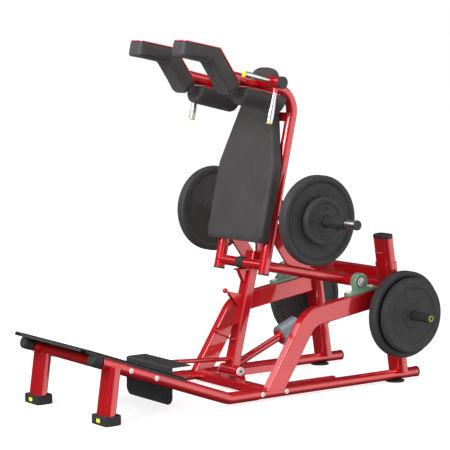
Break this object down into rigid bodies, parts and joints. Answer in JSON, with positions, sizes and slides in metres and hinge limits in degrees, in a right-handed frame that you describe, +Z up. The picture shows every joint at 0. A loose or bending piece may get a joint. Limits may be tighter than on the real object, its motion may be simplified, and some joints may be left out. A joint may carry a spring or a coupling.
{
  "type": "plate-loaded lever squat machine",
  "caption": "Plate-loaded lever squat machine: inclined footplate, hinged carriage with shoulder, roll and back pads, weight horns, and a counterweighted prop with a foot pedal.",
  "frame": {"origin": "on the floor, under the middle of the machine's bounding box; X = 0 is the plane of symmetry", "axes": "+Z up; -Y is the way the user faces, towards the raised end of the footplate; +X is the user's left"},
  "size_m": [1.476, 2.1057, 1.7793],
  "materials": {
    "red_paint": "glossy",
    "rubber": "matte",
    "tread_plate": "textured matte",
    "weight_rubber": "satin",
    "pad_cover": "satin grain",
    "chrome": "polished",
    "bearing_paint": "satin paint",
    "shaft_steel": "machined",
    "counterweight_paint": "satin",
    "black_plastic": "satin",
    "knob_plastic": "glossy"
  },
  "bodies": {
    "frame": {"base_tube_left": "red_paint", "base_tube_right": "red_paint", "bearing_frame_left": "red_paint", "bearing_frame_right": "red_paint", "cross_member": "red_paint", "footplate": "tread_plate", "front_cross_tube": "red_paint", "front_leg_left": "red_paint", "front_leg_right": "red_paint", "leg_foot_left": "rubber", "leg_foot_right": "rubber", "pillow_block_left": "bearing_paint", "pillow_block_right": "bearing_paint", "prop_yoke": "red_paint", "rail_left": "red_paint", "rail_right": "red_paint", "rear_beam": "red_paint", "rear_foot_left": "rubber", "rear_foot_right": "rubber", "rear_upright_left": "red_paint", "rear_upright_right": "red_paint", "storage_horn_left": "black_plastic", "storage_horn_right": "black_plastic"},
    "carriage": {"side_tube_left": "red_paint", "side_tube_right": "red_paint", "shoulder_arm_left": "red_paint", "shoulder_arm_right": "red_paint", "truss_left": "red_paint", "truss_right": "red_paint", "roll_pad_left": "pad_cover", "roll_pad_right": "pad_cover", "shoulder_plate_left": "red_paint", "shoulder_plate_right": "red_paint", "shoulder_pad_left": "pad_cover", "shoulder_pad_right": "pad_cover", "front_handle_left": "chrome", "front_handle_right": "chrome", "down_handle_left": "chrome", "down_handle_right": "chrome", "top_crossbar": "red_paint", "lower_crossbar": "red_paint", "bumper_sleeve": "rubber", "lever_frame": "red_paint", "pivot_shaft": "shaft_steel", "horn_bar": "chrome", "back_pad": "pad_cover"},
    "prop": {"prop_lever": "red_paint", "pedal_plate": "tread_plate", "counterweight": "counterweight_paint", "release_knob": "knob_plastic"},
    "loaded_big_plate_left": {"loaded_big_plate_left": "weight_rubber"},
    "loaded_small_plate_left": {"loaded_small_plate_left": "weight_rubber"},
    "lock_collar_left": {"lock_collar_left": "black_plastic"},
    "stored_big_plate_left": {"stored_big_plate_left": "weight_rubber"},
    "stored_plate_left": {"stored_plate_left": "weight_rubber"},
    "loaded_big_plate_right": {"loaded_big_plate_right": "weight_rubber"},
    "loaded_small_plate_right": {"loaded_small_plate_right": "weight_rubber"},
    "lock_collar_right": {"lock_collar_right": "black_plastic"},
    "stored_big_plate_right": {"stored_big_plate_right": "weight_rubber"},
    "stored_plate_right": {"stored_plate_right": "weight_rubber"}
  },
  "joints": [
    {"name": "carriage_hinge", "type": "hinge", "parent": "frame", "child": "carriage", "pos_m": [0, 0.603, 0.546], "axis": [-1, 0, 0], "range_deg": [0, 20]},
    {"name": "prop_hinge", "type": "hinge", "parent": "frame", "child": "prop", "pos_m": [0, 0.016, 0.108], "axis": [-1, 0, 0], "range_deg": [0, 12]},
    {"name": "loaded_big_plate_left_spin", "type": "hinge", "parent": "carriage", "child": "loaded_big_plate_left", "pos_m": [0.4315, 0.223, 0.893], "axis": [1, 0, 0], "continuous": true},
    {"name": "loaded_small_plate_left_spin", "type": "hinge", "parent": "carriage", "child": "loaded_small_plate_left", "pos_m": [0.4785, 0.223, 0.893], "axis": [1, 0, 0], "continuous": true},
    {"name": "lock_collar_left_slide", "type": "slide", "parent": "carriage", "child": "lock_collar_left", "axis": [1, 0, 0], "range_m": [0, 0.075]},
    {"name": "stored_big_plate_left_spin", "type": "hinge", "parent": "frame", "child": "stored_big_plate_left", "pos_m": [0.4075, 0.82773, 0.37], "axis": [1, 0, 0], "continuous": true},
    {"name": "stored_plate_left_slide", "type": "slide", "parent": "frame", "child": "stored_plate_left", "axis": [1, 0, 0], "range_m": [0, 0.125]},
    {"name": "loaded_big_plate_right_spin", "type": "hinge", "parent": "carriage", "child": "loaded_big_plate_right", "pos_m": [-0.4315, 0.223, 0.893], "axis": [1, 0, 0], "continuous": true},
    {"name": "loaded_small_plate_right_spin", "type": "hinge", "parent": "carriage", "child": "loaded_small_plate_right", "pos_m": [-0.4785, 0.223, 0.893], "axis": [1, 0, 0], "continuous": true},
    {"name": "lock_collar_right_slide", "type": "slide", "parent": "carriage", "child": "lock_collar_right", "axis": [-1, 0, 0], "range_m": [0, 0.075]},
    {"name": "stored_big_plate_right_spin", "type": "hinge", "parent": "frame", "child": "stored_big_plate_right", "pos_m": [-0.4075, 0.82773, 0.37], "axis": [1, 0, 0], "continuous": true},
    {"name": "stored_plate_right_slide", "type": "slide", "parent": "frame", "child": "stored_plate_right", "axis": [-1, 0, 0], "range_m": [0, 0.125]}
  ]
}
